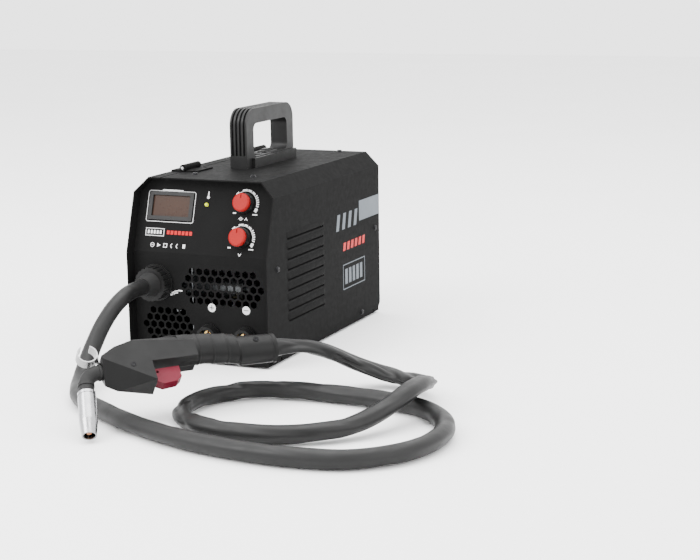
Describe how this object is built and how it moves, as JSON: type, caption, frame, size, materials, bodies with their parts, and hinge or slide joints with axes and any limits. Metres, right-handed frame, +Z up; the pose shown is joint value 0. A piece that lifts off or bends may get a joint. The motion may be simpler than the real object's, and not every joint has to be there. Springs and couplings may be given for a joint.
{
  "type": "mig welding machine",
  "caption": "Portable MIG welding machine with leaning control panel, side door over the wire feeder, carrying handle and torch on its lead.",
  "frame": {"origin": "on the floor under the middle of the casing, midway between the four feet", "axes": "+X to the machine's right-hand side, -Y out of the front panel, +Z up"},
  "size_m": [0.526, 0.7244, 0.31],
  "materials": {
    "base_pan": "powder coat",
    "rubber_feet": "matte",
    "outer_cover": "fine textured powder coat",
    "casing_screws": "zinc plated",
    "front_panel": "fine textured powder coat",
    "rear_panel": "powder coat",
    "partition": "zinc plated",
    "carry_handle": "moulded",
    "hinge_leaves": "black",
    "hinge_pins": "bright",
    "side_door": "fine textured powder coat",
    "door_hinge_leaves": "black",
    "door_latch": "moulded",
    "display_bezel": "satin",
    "display_window": "smoked",
    "display_board": "solder mask",
    "power_led": "clear",
    "control_pots": "plain",
    "current_knob": "moulded",
    "current_cap": "moulded",
    "voltage_knob": "moulded",
    "voltage_cap": "moulded",
    "positive_socket": "moulded",
    "positive_contact": "machined",
    "negative_socket": "moulded",
    "negative_contact": "machined",
    "torch_gland": "soft",
    "gland_nut": "moulded",
    "torch_lead": "sleeve",
    "feeder_plate": "die cast",
    "feed_motor": "plain",
    "drive_roll": "machined",
    "pressure_arm": "moulded",
    "pressure_roll": "machined",
    "tension_arm": "moulded",
    "wire_guides": "machined",
    "filler_wire": "copper coated",
    "spool_hub": "moulded",
    "wire_spool": "moulded",
    "wire_winding": "copper coated",
    "spool_nut": "moulded",
    "main_board": "solder mask",
    "heat_sinks": "extruded",
    "capacitors": "sleeved",
    "transformer": "taped",
    "output_choke": "enamelled",
    "fan_frame": "moulded",
    "fan_rotor": "moulded",
    "fan_guard": "bright wire",
    "power_switch": "moulded",
    "switch_rocker": "moulded",
    "mains_gland": "moulded",
    "torch_shell_top": "moulded",
    "torch_shell_bottom": "moulded",
    "torch_trigger": "moulded",
    "torch_neck": "moulded",
    "gas_nozzle": "plated",
    "contact_tip": "copper",
    "torch_hook": "spring steel"
  },
  "bodies": {
    "machine": {"base_pan": "base_pan", "rubber_feet": "rubber_feet", "outer_cover": "outer_cover", "casing_screws": "casing_screws", "front_panel": "front_panel", "rear_panel": "rear_panel", "partition": "partition", "carry_handle": "carry_handle", "hinge_leaves": "hinge_leaves", "hinge_pins": "hinge_pins", "display_bezel": "display_bezel", "display_window": "display_window", "display_board": "display_board", "power_led": "power_led", "control_pots": "control_pots", "positive_socket": "positive_socket", "positive_contact": "positive_contact", "negative_socket": "negative_socket", "negative_contact": "negative_contact", "torch_gland": "torch_gland", "gland_nut": "gland_nut", "torch_lead": "torch_lead", "feeder_plate": "feeder_plate", "feed_motor": "feed_motor", "wire_guides": "wire_guides", "filler_wire": "filler_wire", "spool_hub": "spool_hub", "spool_nut": "spool_nut", "main_board": "main_board", "heat_sinks": "heat_sinks", "capacitors": "capacitors", "transformer": "transformer", "output_choke": "output_choke", "fan_frame": "fan_frame", "fan_guard": "fan_guard", "power_switch": "power_switch", "mains_gland": "mains_gland", "torch_shell_top": "torch_shell_top", "torch_shell_bottom": "torch_shell_bottom", "torch_neck": "torch_neck", "gas_nozzle": "gas_nozzle", "contact_tip": "contact_tip", "torch_hook": "torch_hook"},
    "side_door": {"side_door": "side_door", "door_hinge_leaves": "door_hinge_leaves"},
    "door_latch": {"door_latch": "door_latch"},
    "current_knob": {"current_knob": "current_knob", "current_cap": "current_cap"},
    "voltage_knob": {"voltage_knob": "voltage_knob", "voltage_cap": "voltage_cap"},
    "switch_rocker": {"switch_rocker": "switch_rocker"},
    "torch_trigger": {"torch_trigger": "torch_trigger"},
    "wire_spool": {"wire_spool": "wire_spool", "wire_winding": "wire_winding"},
    "drive_roll": {"drive_roll": "drive_roll"},
    "pressure_arm": {"pressure_arm": "pressure_arm"},
    "pressure_roll": {"pressure_roll": "pressure_roll"},
    "tension_arm": {"tension_arm": "tension_arm"},
    "fan_rotor": {"fan_rotor": "fan_rotor"}
  },
  "joints": [
    {"name": "side_door_hinge", "type": "hinge", "parent": "machine", "child": "side_door", "pos_m": [-0.063, 0, 0.2367], "axis": [0, 1, 0], "range_deg": [0, 105]},
    {"name": "door_latch_turn", "type": "hinge", "parent": "side_door", "child": "door_latch", "pos_m": [-0.1, 0, 0.03], "axis": [1, 0, 0], "range_deg": [-90, 0]},
    {"name": "current_knob_turn", "type": "hinge", "parent": "machine", "child": "current_knob", "pos_m": [0.054, -0.14333, 0.20278], "axis": [0, 0.9527, -0.304], "range_deg": [-135, 135]},
    {"name": "voltage_knob_turn", "type": "hinge", "parent": "machine", "child": "voltage_knob", "pos_m": [0.054, -0.1567, 0.16086], "axis": [0, 0.9527, -0.304], "range_deg": [-135, 135]},
    {"name": "power_rocker", "type": "hinge", "parent": "machine", "child": "switch_rocker", "pos_m": [0.062, 0.1784, 0.178], "axis": [-1, 0, 0], "range_deg": [0, 18]},
    {"name": "trigger_squeeze", "type": "hinge", "parent": "machine", "child": "torch_trigger", "pos_m": [0.08092, -0.41871, 0.05196], "axis": [0.4973, -0.4477, 0.7431], "range_deg": [0, 8], "stiffness_Nm_per_rad": 0.4, "springref_deg": -5.73},
    {"name": "spool_spin", "type": "hinge", "parent": "machine", "child": "wire_spool", "pos_m": [-0.0685, 0.072, 0.11], "axis": [1, 0, 0], "continuous": true},
    {"name": "drive_roll_spin", "type": "hinge", "parent": "machine", "child": "drive_roll", "pos_m": [-0.066, -0.1, 0.08285], "axis": [1, 0, 0], "continuous": true},
    {"name": "pressure_arm_lift", "type": "hinge", "parent": "machine", "child": "pressure_arm", "pos_m": [-0.056, -0.128, 0.112], "axis": [1, 0, 0], "range_deg": [0, 55]},
    {"name": "pressure_roll_spin", "type": "hinge", "parent": "pressure_arm", "child": "pressure_roll", "pos_m": [-0.066, -0.1, 0.11015], "axis": [1, 0, 0], "continuous": true},
    {"name": "tension_arm_swing", "type": "hinge", "parent": "machine", "child": "tension_arm", "pos_m": [-0.0595, -0.07, 0.07], "axis": [-1, 0, 0], "range_deg": [-22, 18]},
    {"name": "fan_spin", "type": "hinge", "parent": "machine", "child": "fan_rotor", "pos_m": [0.042, 0.165, 0.076], "axis": [0, 1, 0], "continuous": true}
  ],
  "couplings": [
    {"joint": "pressure_roll_spin", "follows": "drive_roll_spin", "ratio": -1.3636}
  ]
}
